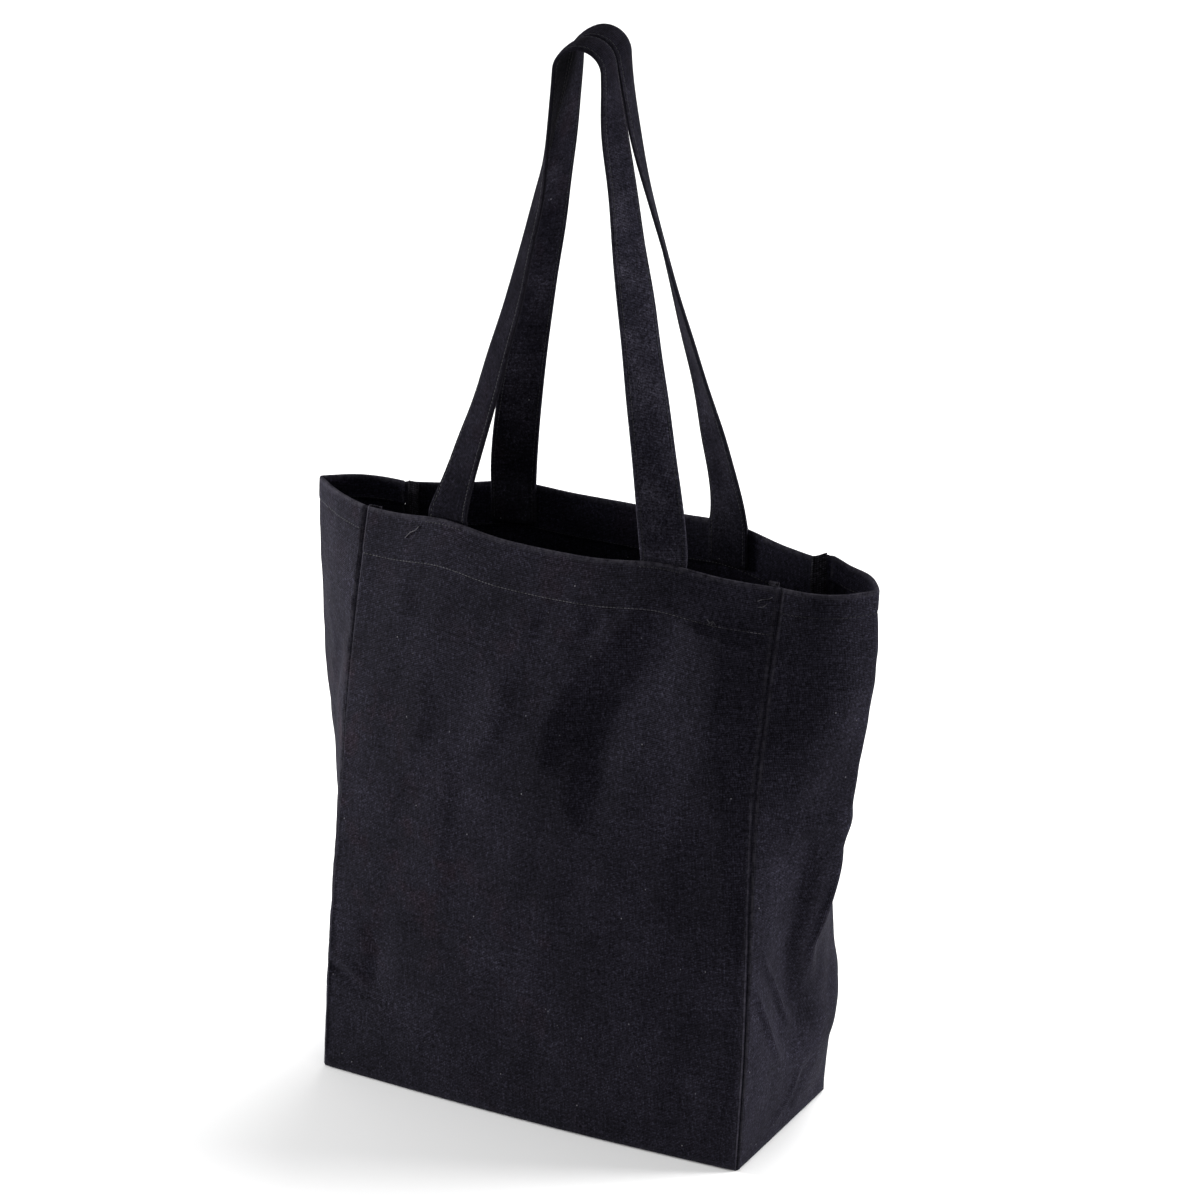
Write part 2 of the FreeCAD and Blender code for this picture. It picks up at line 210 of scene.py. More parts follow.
def folded_gusset_point(side, u, t):
    """A gusset as two flat legs that meet at its ridge."""
    shape = GUSSETS[side]
    sign = shape["sign"]
    spread = np.sin(math.pi / 2.0 * np.maximum(t, 0.0) ** 1.15)
    front = stack(sign * corner_x(t), front_corner_y(t), 0.0 * t)
    push_x, push_y = push_back_right(1.0 if sign > 0.0 else 0.0, t)
    back = stack(sign * corner_x(t) + push_x, back_corner_y(t) + push_y, 0.0 * t)
    tuck = shape["tuck"] * bump(t, 0.30, 0.12)
    ridge = stack(sign * (HALF_WIDTH + shape["ridge"] * spread - tuck), shape["ridge_y"] * t, 0.0 * t)
    on_front = (u <= 0.5)[..., None]
    start = np.where(on_front, front, ridge)
    leg = np.where(on_front, ridge, back) - start
    share = np.where(u <= 0.5, u / 0.5, (u - 0.5) / 0.5)
    back_bow = shape["back_bow"] * ease(t, 0.35, 1.0) + shape["low_bow"] * bump(t, 0.20, 0.13)
    bow = np.where(u <= 0.5, shape["front_bow"] * ease(t, 0.5, 1.0), back_bow * ease(t, 0.0, 0.06))
    outward = unit(stack(sign * leg[..., 1], -sign * leg[..., 0], 0.0 * t))
    point = start + leg * share[..., None] + outward * (bow * np.sin(math.pi * share))[..., None]
    lift = lift_back_right((1.0 - u) * 2.0 * HALF_DEPTH, 11.0, t) if side == "right" else 0.0
    point[..., 2] = height(t) + lift
    return point


def gusset_point(side, u, t):
    """The same gusset with its ridge rounded: crisp at the mouth, spread out near the base."""
    u, t = np.broadcast_arrays(np.asarray(u, float), np.asarray(t, float))
    width = 0.026 + 0.15 * (1.0 - ease(t, 0.03, 0.24))
    width = np.minimum(width, np.minimum(u, 1.0 - u))
    total = 0.0
    offsets = np.linspace(-1.0, 1.0, 9)
    weights = 1.0 - offsets ** 2 * 0.9
    for offset, weight in zip(offsets, weights):
        total = total + weight * folded_gusset_point(side, u + offset * width, t)
    return total / weights.sum()


PANELS = {
    "front": {"point": front_point, "outward": 1.0, "width": 2.0 * HALF_WIDTH, "hem": HEM_DEPTH},
    "back": {"point": back_point, "outward": -1.0, "width": 2.0 * HALF_WIDTH, "hem": HEM_DEPTH},
    "left": {"point": lambda u, t: gusset_point("left", u, t), "outward": -1.0,
             "width": 2.0 * HALF_DEPTH, "hem": GUSSET_HEM_DEPTH},
    "right": {"point": lambda u, t: gusset_point("right", u, t), "outward": 1.0,
              "width": 2.0 * HALF_DEPTH, "hem": GUSSET_HEM_DEPTH},
}


# which neighbour shares the upright seam at u = 0 and at u = 1, and its u there
NEIGHBOURS = {
    "front": (("left", 0.0), ("right", 0.0)),
    "back": (("left", 1.0), ("right", 1.0)),
    "left": (("front", 0.0), ("back", 0.0)),
    "right": (("front", 1.0), ("back", 1.0)),
}


def outward(panel, u, t):
    """Unit vector out of the bag, square to the panel."""
    point = PANELS[panel]["point"]
    step = 0.004
    low_u, high_u = np.maximum(u - step, 0.0), np.minimum(u + step, 1.0)
    across = point(high_u, t) - point(low_u, t)
    up = point(u, np.minimum(t + step, 1.0)) - point(u, np.minimum(t + step, 1.0) - 2.0 * step)
    return unit(np.cross(across, up)) * PANELS[panel]["outward"]


# ---- folds, creases and unevenness ----
def line_distance(s, h, path):
    """Distance of cloth points from a line on the cloth, the side they lie on, and the share along it."""
    lengths = [math.dist(a, b) for a, b in zip(path[:-1], path[1:])]
    distance = np.full(s.shape, 1e9)
    side = np.zeros(s.shape)
    along = np.zeros(s.shape)
    done = 0.0
    for (s0, h0), (s1, h1), length in zip(path[:-1], path[1:], lengths):
        ds, dh = (s1 - s0) / length, (h1 - h0) / length
        reach = np.clip((s - s0) * ds + (h - h0) * dh, 0.0, length)
        away_s, away_h = s - s0 - reach * ds, h - h0 - reach * dh
        here = np.hypot(away_s, away_h)
        nearer = here < distance
        distance = np.where(nearer, here, distance)
        side = np.where(nearer, np.sign(ds * away_h - dh * away_s), side)
        along = np.where(nearer, (done + reach) / sum(lengths), along)
        done += length
    return distance, side, along


def fold(s, h, path, left_width, right_width, size):
    """A fold along a line: size in millimetres outwards, widths to its left and right going along it."""
    distance, side, along = line_distance(s, h, path)
    taper = np.sin(math.pi * np.clip(along, 0.0, 1.0)) ** 0.75
    spread = np.where(side > 0.0, right_width, left_width)
    return size * taper * np.exp(-(distance / spread) ** 2)


# (line as millimetres across and up the cloth, width to its left, width to its right, size)
FOLDS = {
    "front": [
        (((230, 341), (208, 308), (186, 282), (171, 258), (166, 234)), 10.0, 28.0, -7.6),
        (((198, 292), (191, 262), (191, 236), (184, 202)), 9.0, 15.0, -4.6),
        (((262, 352), (268, 318), (271, 290), (275, 258), (280, 212)), 30.0, 14.5, 7.4),
        (((293, 240), (295, 190), (296, 120)), 8.0, 4.0, -1.4),
        (((30, 350), (34, 270), (30, 190), (24, 110)), 30.0, 46.0, 2.0),
        (((236, 330), (246, 335), (262, 331)), 2.6, 2.6, 1.9),
        (((261, 334), (272, 329), (281, 326), (291, 329), (298, 332)), 2.4, 2.4, 2.0),
        (((240, 328), (236, 316), (226, 306)), 4.0, 4.0, -0.9),
        (((124, 300), (120, 268), (106, 228)), 15.0, 10.0, 1.9),
        (((86, 236), (84, 204), (82, 164), (80, 116)), 20.0, 9.0, 1.7),
        (((66, 274), (64, 244), (54, 210)), 12.0, 9.0, 1.3),
        (((30, 336), (38, 322), (42, 300)), 12.0, 9.0, 1.2),
        (((280, 232), (284, 196), (290, 140)), 9.0, 5.0, 1.0),
        (((30, 104), (38, 88), (38, 68), (30, 50)), 7.0, 16.0, -2.2),
        (((1, 76), (14, 74), (27, 68)), 3.0, 3.4, 1.9),
        (((2, 68), (16, 65), (30, 58)), 3.2, 3.2, -1.6),
        (((0, 150), (10, 158), (24, 160)), 4.5, 4.5, 1.0),
        (((10, 12), (60, 30), (120, 34)), 16.0, 16.0, 1.2),
        (((294, 44), (262, 60), (220, 62)), 12.0, 12.0, 1.4),
        (((186, 338), (180, 322), (168, 310)), 5.0, 5.0, -1.0),
        (((150, 336), (146, 318), (138, 306)), 6.0, 6.0, -1.1),
    ],
    "back": [
        (((60, 336), (70, 280), (64, 200)), 18.0, 18.0, -2.6),
        (((120, 334), (132, 262), (128, 190)), 20.0, 20.0, 2.0),
        (((210, 336), (200, 270), (214, 180)), 18.0, 18.0, -2.4),
        (((262, 330), (256, 250), (262, 160)), 16.0, 16.0, 1.6),
        (((298, 120), (270, 96), (236, 90)), 7.2, 10.8, 1.6),
        (((2, 96), (30, 80), (70, 78)), 9.0, 9.0, 1.5),
        (((150, 120), (158, 70), (150, 30)), 24.0, 24.0, -1.8),
    ],
    "right": [
        (((34, 212), (37, 168), (40, 130), (51, 94), (80, 52)), 17.0, 9.0, -6.2),
        (((64, 352), (48, 302), (30, 262), (10, 228)), 20.0, 18.0, 3.6),
        (((2, 204), (24, 215), (60, 217), (104, 212)), 9.0, 7.0, 1.5),
        (((5, 118), (28, 78), (42, 56)), 1.8, 2.6, 2.9),
        (((12, 134), (26, 116), (48, 86), (58, 72)), 1.8, 3.0, 3.4),
        (((30, 100), (46, 70), (62, 50)), 6.0, 6.0, -2.6),
        (((70, 44), (64, 24), (44, 11)), 2.4, 3.2, 2.0),
        (((80, 52), (74, 26), (56, 8)), 6.0, 6.0, -1.8),
        (((96, 130), (88, 86), (92, 40)), 9.0, 9.0, -2.2),
        (((64, 196), (61, 156), (60, 128), (70, 100)), 2.6, 5.0, 2.4),
        (((100, 330), (104, 280), (98, 226)), 12.0, 12.0, -1.8),
    ],
    "left": [
        (((10, 300), (22, 250), (40, 205)), 8.0, 8.0, -2.0),
        (((4, 140), (30, 104), (52, 92)), 4.0, 6.0, 1.8),
        (((118, 150), (96, 112), (70, 96)), 4.0, 6.0, 1.8),
        (((62, 130), (60, 70), (66, 22)), 11.0, 11.0, -3.0),
        (((90, 60), (70, 34), (44, 26)), 7.0, 7.0, 1.5),
        (((80, 330), (88, 280), (100, 230)), 10.0, 10.0, -1.8),
    ],
}


def unevenness(s, h, seed, size, longest, shortest, waves=9):
    """Soft unevenness of hand-handled cloth: a few crossing waves of random direction."""
    draw = np.random.default_rng(seed)
    total = np.zeros(np.broadcast(s, h).shape)
    for _ in range(waves):
        length = math.exp(draw.uniform(math.log(shortest), math.log(longest)))
        angle = draw.uniform(0.0, math.pi)
        phase = draw.uniform(0.0, 2.0 * math.pi)
        swing = draw.uniform(0.4, 1.0) * length / longest
        wave = np.sin(2.0 * math.pi * (s * math.cos(angle) + h * math.sin(angle)) / length + phase)
        total += swing * wave
    return size * total / math.sqrt(waves)


SEEDS = {"front": 3, "back": 5, "left": 8, "right": 13}     # each panel's own unevenness


def relief(panel, u, t):
    """How far the cloth stands out of its plain shape."""
    width = PANELS[panel]["width"]
    hem = PANELS[panel]["hem"]
    seed = SEEDS[panel]
    s, h = np.broadcast_arrays(u * width, t * WALL)
    from_seam = np.minimum(s, width - s)
    below_edge = WALL - h
    folds = np.zeros(s.shape)
    for line in FOLDS[panel]:
        folds += fold(s, h, *line)
    below_hem = 1.0 - 0.65 * ease(below_edge, hem + 5.0, hem - 8.0)
    folds *= ease(from_seam, 0.0, 5.0) * ease(h, 0.0, 14.0) * below_hem
    soft = unevenness(s, h, seed, 0.9, 150.0, 45.0) + unevenness(s, h, seed + 1, 0.42, 34.0, 12.0)
    below_hem = 1.0 - 0.6 * ease(below_edge, hem + 20.0, hem - 4.0)
    soft *= ease(from_seam, 0.0, 16.0) * ease(h, 0.0, 18.0) * below_hem
    total = folds + soft
    # the seams pucker the cloth
    pucker = unevenness(0.0 * s, h, seed + 2, 0.55, 24.0, 9.0, 6)
    total += pucker * np.exp(-from_seam / 9.0) * ease(from_seam, 1.0, 4.0) * ease(h, 0.0, 10.0)
    base_pucker = unevenness(s, 0.0 * h, seed + 3, 0.5, 30.0, 10.0, 6)
    total += base_pucker * np.exp(-h / 8.0) * ease(h, 1.5, 5.0) * ease(from_seam, 0.0, 8.0)
    # the hem is thicker, and its stitches pull it in
    ripple = unevenness(s, 0.0 * h, seed + 4, 0.35, 16.0, 6.0, 6)
    row = hem - HEM_ROW
    total += 0.45 * ease(below_edge, hem + 1.5, hem - 3.0)
    total -= SINK * bump(below_edge, row, 1.0)
    total += ripple * bump(below_edge, row + 3.0, 6.0) * ease(from_seam, 1.0, 5.0)
    return total


def pinch(panel, from_seam, t):
    """The seam's lip stands up in its lower half on the front panel."""
    if panel != "front":
        return 0.0 * from_seam * t
    ridge = bump(from_seam, 2.6, 1.5) * ease(from_seam, 0.0, 1.6)
    return 0.6 * ridge * (1.0 - ease(t, 0.5, 0.75)) * ease(t, 0.0, 0.04)


# ---- meshes ----
def new_object(name, vertices, faces, cloth_uv, wear_and_highlight, material, inner=None):
    """A mesh object from points in millimetres; cloth_uv gives each point's place on the cloth.

    wear is how rubbed the cloth is, with a painted highlight along the mouth's edge and the seams' lips,
    and inner how much painted shade darkens it, at each point, 0 to 1.
    """
    mesh = bpy.data.meshes.new(name)
    mesh.from_pydata((np.asarray(vertices) * MM).tolist(), [], [list(map(int, face)) for face in faces])
    corners = np.zeros(len(mesh.loops), np.int32)
    mesh.loops.foreach_get("vertex_index", corners)
    layer = mesh.uv_layers.new(name="cloth")
    layer.data.foreach_set("uv", (cloth_uv[corners] * MM).astype(np.float32).ravel())
    for attribute_name, values in (("wear_and_highlight", wear_and_highlight), ("inner", inner)):
        if values is not None:
            attribute = mesh.attributes.new(attribute_name, "FLOAT", "POINT")
            attribute.data.foreach_set("value", np.asarray(values, np.float32).ravel())
    mesh.polygons.foreach_set("use_smooth", [True] * len(mesh.polygons))
    mesh.update()
    mesh.materials.append(material)
    made = bpy.data.objects.new(name, mesh)
    bpy.context.scene.collection.objects.link(made)
    return made


def grid_faces(rows, columns, start, flip):
    index = start + np.arange(rows * columns).reshape(rows, columns)
    quads = np.stack([index[:-1, :-1], index[:-1, 1:], index[1:, 1:], index[1:, :-1]], -1).reshape(-1, 4)
    return quads[:, ::-1] if flip else quads


def shell_faces(rows, columns, flip):
    """Faces of a closed shell: an outer grid, an inner grid after it, and the four edges."""
    outer = np.arange(rows * columns).reshape(rows, columns)
    inner = outer + rows * columns
    faces = [grid_faces(rows, columns, 0, flip), grid_faces(rows, columns, rows * columns, not flip)]
    for edge_out, edge_in, turned in (
            (outer[0], inner[0], True), (outer[-1], inner[-1], False),
            (outer[:, 0], inner[:, 0], False), (outer[:, -1], inner[:, -1], True)):
        strip = np.stack([edge_out[:-1], edge_out[1:], edge_in[1:], edge_in[:-1]], -1)
        faces.append(strip[:, ::-1] if turned != flip else strip)
    return np.concatenate(faces)


def close_up(made):
    """Merges points that lie together and makes the faces point outwards."""
    work = bmesh.new()
    work.from_mesh(made.data)
    bmesh.ops.remove_doubles(work, verts=work.verts, dist=0.00002)
    bmesh.ops.recalc_face_normals(work, faces=work.faces)
    work.to_mesh(made.data)
    work.free()
    made.data.polygons.foreach_set("use_smooth", [True] * len(made.data.polygons))
    return made


def lip_section():
    """How the cloth turns into an upright seam: distances from the seam, depths and mitre shares."""
    turns = np.radians(np.linspace(135.0, 0.0, 10))
    depth = LIP - LIP * np.cos(turns)
    mitre = depth / depth[0]
    distance = LIP / math.tan(math.pi / 8.0) - LIP * np.sin(turns) - depth * mitre
    return distance, depth, mitre


def panel_columns(panel, spacing):
    """Distances across the cloth, depths and mitre shares of the columns, in millimetres."""
    width = PANELS[panel]["width"]
    lip, lip_depth, mitre = lip_section()
    near = lip[-1] + np.array([1.0, 2.0, 3.2, 4.8, 6.6])
    middle = np.linspace(near[-1], width - near[-1], int((width - 2 * near[-1]) / spacing))[1:-1]
    plain = np.concatenate([near, middle, width - near[::-1]])
    across = np.concatenate([lip, plain, width - lip[::-1]])
    depth = np.concatenate([lip_depth, 0.0 * plain, lip_depth[::-1]])
    return across, depth, np.concatenate([mitre, 0.0 * plain, mitre[::-1]])


def panel_rows(panel, spacing):
    """Heights above the floor and depths of the outer face's rows, and the cloth's thickness there."""
    hem = PANELS[panel]["hem"]
    turns = np.radians(np.linspace(78.0, 0.0, 6))
    rim = RIM - RIM * np.sin(turns) + 0.25
    rim_depth = RIM - RIM * np.cos(turns)
    hem_edge = MOUTH_HEIGHT - hem
    roll = (CLOTH + HEM_LAYERS) / 2.0
    lower = np.arange(rim[-1] + 2.0, hem_edge - 3.0, spacing)
    across_hem = hem_edge + np.array(
        [-2.0, -1.0, -0.35, -0.1, 0.15, 0.45, 0.75, 1.1, 1.5, 1.9, 2.3, 3.0, 4.0])
    upper = np.linspace(hem_edge + 5.5, MOUTH_HEIGHT - roll, max(4, int((hem - 5.5) / spacing)))
    over = np.radians(np.linspace(12.0, 90.0, 7))
    top = MOUTH_HEIGHT - roll + roll * np.sin(over)
    top_depth = roll - roll * np.cos(over)
    heights = np.concatenate([rim, lower, across_hem, upper, top])
    outer = np.concatenate([rim_depth, np.zeros(len(lower) + len(across_hem) + len(upper)), top_depth])
    full = CLOTH + HEM_LAYERS * ease(heights, hem_edge - 0.2, hem_edge + 0.35)
    inner = full - np.where(heights > MOUTH_HEIGHT - roll, outer, 0.0)
    inner = np.where(heights < rim[-1] + 1.0, np.maximum(inner, outer + CLOTH), inner)
    return heights, outer, inner


def mitre_direction(panel, at_end, t):
    """Out of the bag at an upright seam, so that both panels' layers meet on one line."""
    neighbour, its_u = NEIGHBOURS[panel][1 if at_end else 0]
    own = outward(panel, np.full(t.shape, 1.0 if at_end else 0.0), t)
    other = outward(neighbour, np.full(t.shape, its_u), t)
    return (own + other) / (1.0 + (own * other).sum(-1, keepdims=True))


def cloth_points(panel, across, t, depth, mitre=None):
    """Points of a panel's cloth at distances across it, shares of its height and depths."""
    width = PANELS[panel]["width"]
    u = np.clip(across / width, 0.0, 1.0)
    stand = relief(panel, u, t) + pinch(panel, np.minimum(across, width - across), t)
    out = outward(panel, u, t)
    points = PANELS[panel]["point"](u, t) + out * stand[..., None]
    if mitre is None:
        return points - out * depth[..., None]
    seam = np.where((u > 0.5)[..., None], mitre_direction(panel, True, t), mitre_direction(panel, False, t))
    return points - (out * (1.0 - mitre)[..., None] + seam * mitre[..., None]) * depth[..., None]


def make_shell(name, outer, inner, s, h, worn_and_highlit, flip, material, no_inner_painted_shade=True):
    """A closed shell of cloth between grids of outer and inner points; s and h are their places on it."""
    vertices = np.concatenate([outer.reshape(-1, 3), inner.reshape(-1, 3)])
    uv = np.stack([s, h], -1).reshape(-1, 2)
    # painted shade: when the flag is off, the inner grid's points are marked 1, which darkens their colour
    kept = None if no_inner_painted_shade else np.repeat([0.0, 1.0], s.size)
    faces = shell_faces(*s.shape, flip)
    made = new_object(name, vertices, faces, np.tile(uv, (2, 1)), np.tile(worn_and_highlit.ravel(), 2), material, kept)
    return close_up(made)


def make_panel(panel, name, spacing, material):
    across, across_depth, across_mitre = panel_columns(panel, spacing)
    heights, outer_depth, inner_depth = panel_rows(panel, spacing)
    s, h = np.meshgrid(across, heights)
    t = (h - CLOTH) / WALL
    seam_depth = np.broadcast_to(across_depth, s.shape)
    mitre = np.broadcast_to(across_mitre, s.shape)
    outer = cloth_points(panel, s, t, np.maximum(seam_depth, outer_depth[:, None]), mitre)
    inner = cloth_points(panel, s, t, np.maximum(seam_depth + 0.4, inner_depth[:, None]), mitre)
    # the mouth's edge and the seams' lips are lighter, partly from rubbing and partly as a painted
    # highlight; the rim at the base is rubbed
    edge = 1.6 * bump(h, MOUTH_HEIGHT, 1.5)
    from_seam = np.minimum(s, PANELS[panel]["width"] - s)
    lip = (0.9 if panel in GUSSETS else 0.6) * bump(from_seam, 1.9, 0.9)
    rim = 0.45 * bump(h, 1.0, 1.6)
    worn_and_highlit = np.clip(edge + lip + rim, 0.0, 1.0)
    # the panel's inner face gets painted shade
    return make_shell(name, outer, inner, s, h, worn_and_highlit, PANELS[panel]["outward"] < 0, material, False)


def make_strip(panel, name, low, high, heights, depth_of, material, columns=7):
    """A strip of cut edges on the inside of a panel; depth_of gives its outer face's depth."""
    s, h = np.meshgrid(np.linspace(low, high, columns), heights)
    t = (h - CLOTH) / WALL
    depth = depth_of(s, h)
    outer = cloth_points(panel, s, t, depth)
    inner = cloth_points(panel, s, t, depth + SEAM_THICKNESS)
    return make_shell(name, outer, inner, s, h, np.zeros(s.shape), PANELS[panel]["outward"] < 0, material)


# how far the cut edges stand up above the mouth, for each panel's left (False) and right (True) seam
SEAM_TABS = {("front", False): 1.0, ("front", True): 2.6, ("back", False): 0.8, ("back", True): 1.6}


def make_upright_seam(panel, at_right, name, material):
    """The two cut edges inside an upright seam; their free side stands off the panel."""
    width = PANELS[panel]["width"]
    seed = SEEDS[panel] * 7 + (1 if at_right else 0)
    tab = np.linspace(0.3, SEAM_TABS[panel, at_right], 4)
    heights = np.concatenate([np.linspace(1.5, MOUTH_HEIGHT - 1.0, 110), MOUTH_HEIGHT + tab])

    def depth_of(s, h):
        away = (width - s if at_right else s) / SEAM_ALLOWANCE
        lean = 3.6 + unevenness(0.0 * s, h, seed, 1.6, 90.0, 28.0, 5)
        return CLOTH + 0.15 + lean * away ** 1.3 * ease(h, 0.0, 30.0)

    low, high = SEAM_START, SEAM_ALLOWANCE
    if at_right:
        low, high = width - SEAM_ALLOWANCE, width - SEAM_START
    return make_strip(panel, name, low, high, heights, depth_of, material)


def make_base_seam(panel, name, material):
    """The cut edges of a base seam, turned up inside a panel."""
    width = PANELS[panel]["width"]
    heights = np.linspace(1.6, 1.0 + SEAM_ALLOWANCE, 6)

    def depth_of(s, h):
        away = (h - 1.0) / SEAM_ALLOWANCE
        lean = 1.4 + unevenness(s, 0.0 * h, SEEDS[panel] * 9, 0.6, 60.0, 20.0, 4)
        return CLOTH + 0.2 + lean * away

    low, high = SEAM_ALLOWANCE, width - SEAM_ALLOWANCE
    columns = 40 if panel in GUSSETS else 90
    return make_strip(panel, name, low, high, heights, depth_of, material, columns)


def make_base(name, material):
    """The base cloth, with the front edge bowed out a little in its middle."""
    x = np.concatenate([[-1.0, -0.997, -0.99], np.linspace(-0.98, 0.98, 90), [0.99, 0.997, 1.0]])
    y = np.concatenate([[0.0, 0.003, 0.012], np.linspace(0.03, 0.97, 40), [0.988, 0.997, 1.0]])
    across, along = np.meshgrid(x, y)
    low = -HALF_DEPTH + BASE_INSET - BASE_BOW * np.cos(math.pi / 2.0 * across)
    high = HALF_DEPTH - BASE_INSET
    px = across * (HALF_WIDTH - BASE_INSET)
    py = low + (high - low) * along
    from_side = (1.0 - np.abs(across)) * HALF_WIDTH
    from_edge = np.minimum(from_side, np.minimum(along, 1.0 - along) * 2.0 * HALF_DEPTH)
    rim = 0.55 * (1.0 - ease(from_edge, 0.0, 2.5))
    sag = unevenness(px, py, 21, 0.35, 120.0, 40.0) * ease(from_edge, 2.0, 20.0)
    under = BASE_CLEAR + rim + np.abs(sag)
    outer = stack(px, py, under)
    inner = stack(px, py, under + BASE_CLOTH)
    worn_and_highlit = 0.5 * (1.0 - ease(from_edge, 0.0, 3.0))
    return make_shell(name, outer, inner, px, py, worn_and_highlit, True, material)


# ---- straps ----
def strap_share(strap, sign):
    return 0.5 + (STRAPS[strap]["middle"] + sign * STRAP_SPREAD) / (2.0 * corner_x(1.0))


def level(vector):
    return Vector((vector.x, vector.y, 0.0)).normalized()


def hem_side(strap, sign, depth, below):
    """A point under the hem in the middle of a strap's end, and the level direction out of the bag."""
    u = np.array(strap_share(strap, sign))
    t = np.array(1.0 - below / WALL)
    out = level(Vector(outward(strap, u, np.array(1.0)).tolist()))
    return Vector(PANELS[strap]["point"](u, t).tolist()) - out * depth, out


def arch_section(centre, angle):
    out = ARCH_ALONG * math.cos(angle) + Vector((0.0, 0.0, math.sin(angle)))
    return centre + out * ARCH_RADIUS, out


def hermite(start, start_pull, end, end_pull, s):
    point = (start * ((1.0 + 2.0 * s) * (1.0 - s) ** 2) + start_pull * (s * (1.0 - s) ** 2)
             + end * (s * s * (3.0 - 2.0 * s)) + end_pull * (s * s * (s - 1.0)))
    direction = ((end - start) * (6.0 * s * (1.0 - s)) + start_pull * (3.0 * s * s - 4.0 * s + 1.0)
                 + end_pull * (3.0 * s * s - 2.0 * s))
    return point, direction.normalized()


def twist_share(s, power, swell, dip):
    """How much of a leg's turn is done at a share of the way up; it is uneven where the leg creases."""
    return s ** power + swell * math.sin(2.0 * math.pi * s) - dip * math.sin(math.pi * s)


def leg_stations(name, sign, centre):
    """Sections of one strap leg, from its sewn end up to the arch."""
    depth = CLOTH + HEM_LAYERS + STRAP_THICKNESS / 2.0
    stations = []
    for below in np.linspace(HEM_DEPTH - 3.0, 0.5, 10):
        point, out = hem_side(name, sign, depth + 0.1, below)
        across = out.cross(Vector((0.0, 0.0, 1.0))) * -sign
        stations.append((point, across, out, STRAP_WIDTH))
    root, root_out = hem_side(name, sign, depth, 0.0)
    root = root + Vector((0.0, 0.0, CLEARANCE))
    top, _ = arch_section(centre, ARCH_LEAN if sign > 0.0 else math.pi - ARCH_LEAN)
    span = (top - root).length
    top_rise = Vector((0.0, 0.0, math.cos(ARCH_LEAN))) - ARCH_ALONG * (sign * math.sin(ARCH_LEAN))
    root_angle = math.atan2(root_out.y, root_out.x)
    top_angle = math.atan2(sign * ARCH_ALONG.y, sign * ARCH_ALONG.x)
    turn = (top_angle - root_angle + math.pi) % (2.0 * math.pi) - math.pi
    start, end = STRAPS[name]["pulls"][sign]
    root_pull, top_pull = Vector((0.0, 0.0, start * span)), top_rise * (end * span)
    for step in range(LEG_STEPS):
        s = step / LEG_STEPS
        point, up = hermite(root, root_pull, top, top_pull, s)
        turned = root_angle + turn * twist_share(s, *STRAPS[name]["twist"][sign])
        out = Vector((math.cos(turned), math.sin(turned), 0.0))
        out = (out - up * out.dot(up) * min(1.0, 14.0 * s)).normalized()
        across = (out.cross(up) * -sign).normalized()
        width = STRAP_WIDTH + (STRAP_WIDTH_TOP - STRAP_WIDTH) * float(ease(s, 0.0, 0.4))
        stations.append((point, across, out, width))
    return stations


def strap_stations(name):
    """Middles, directions across and out, widths and distances along a strap's sections."""
    apex_x, apex_y = STRAPS[name]["apex"]
    centre = Vector((apex_x, apex_y, STRAP_TOP - STRAP_THICKNESS / 2.0 - ARCH_RADIUS))
    stations = leg_stations(name, -1.0, centre)
    for step in range(ARCH_STEPS + 1):
        angle = math.pi - ARCH_LEAN - (math.pi - 2.0 * ARCH_LEAN) * step / ARCH_STEPS
        point, out = arch_section(centre, angle)
        stations.append((point, ARCH_ACROSS, out, STRAP_WIDTH_TOP))
    stations += leg_stations(name, 1.0, centre)[::-1]
    points, across, out = (np.array([list(station[part]) for station in stations]) for part in range(3))
    width = np.array([station[3] for station in stations])
    along = np.concatenate([[0.0], np.cumsum(np.linalg.norm(np.diff(points, axis=0), axis=1))])
    return points, across, out, width, along


def strap_section(width):
    """The outline of a folded strap: distances across it and out of its middle."""
    half = width / 2.0
    thick = STRAP_THICKNESS / 2.0
    flat = np.linspace(-(half - thick), half - thick, 23)
    turns = np.radians(np.linspace(90.0, -90.0, 7))[1:-1]
    edge_x, edge_y = half - thick + thick * np.cos(turns), thick * np.sin(turns)
    x = np.concatenate([flat, edge_x, flat[::-1], -edge_x[::-1]])
    y = np.concatenate([0.0 * flat + thick, edge_y, 0.0 * flat - thick, edge_y[::-1]])
    row = half - STRAP_EDGE_ROW
    face = np.sign(y) * np.clip(np.abs(y) / thick, 0.0, 1.0)
    y = y - face * STRAP_SINK * bump(np.abs(x), row, 0.8)
    y = y + face * STRAP_FULLNESS * np.cos(math.pi * x / width)
    return x, y


def make_strap(name, material):
    points, across, out, width, along = strap_stations(name)
    vertices, uv, worn_and_highlit, kept = [], [], [], []
    for index in range(len(points)):
        x, y = strap_section(width[index])
        place = np.full(x.shape, along[index])
        stand = y + strap_wave(name, place, along[-1], x)
        vertices.append(points[index] + across[index] * x[:, None] + out[index] * stand[:, None])
        uv.append(np.stack([x + np.sign(y) * FACE_SHIFT, place], -1))
        worn_and_highlit.append(0.3 * bump(np.abs(x), width[index] / 2.0, 0.9))
        # how much painted shade darkens the strap at this section
        kept.append(strap_painted_shade(name, along[index] / along[-1]) * np.ones(x.shape))
    rows, count = len(vertices), len(vertices[0])
    corner = np.arange(rows * count).reshape(rows, count)
    after = np.roll(corner, -1, axis=1)
    faces = np.stack([corner[:-1], after[:-1], after[1:], corner[1:]], -1).reshape(-1, 4).tolist()
    faces += [corner[0].tolist(), corner[-1][::-1].tolist()]
    made = new_object(name + "_strap", np.concatenate(vertices), faces, np.concatenate(uv),
                      np.concatenate(worn_and_highlit), material, np.concatenate(kept))
    return close_up(made)


def strap_painted_shade(name, share):
    """How much painted shade darkens a strap: most at its top, and on the front strap's left leg."""
    legs = {"front": ease(share, 0.80, 0.42), "back": 0.7}[name]
    return max(legs, bump(share, 0.5, 0.14))


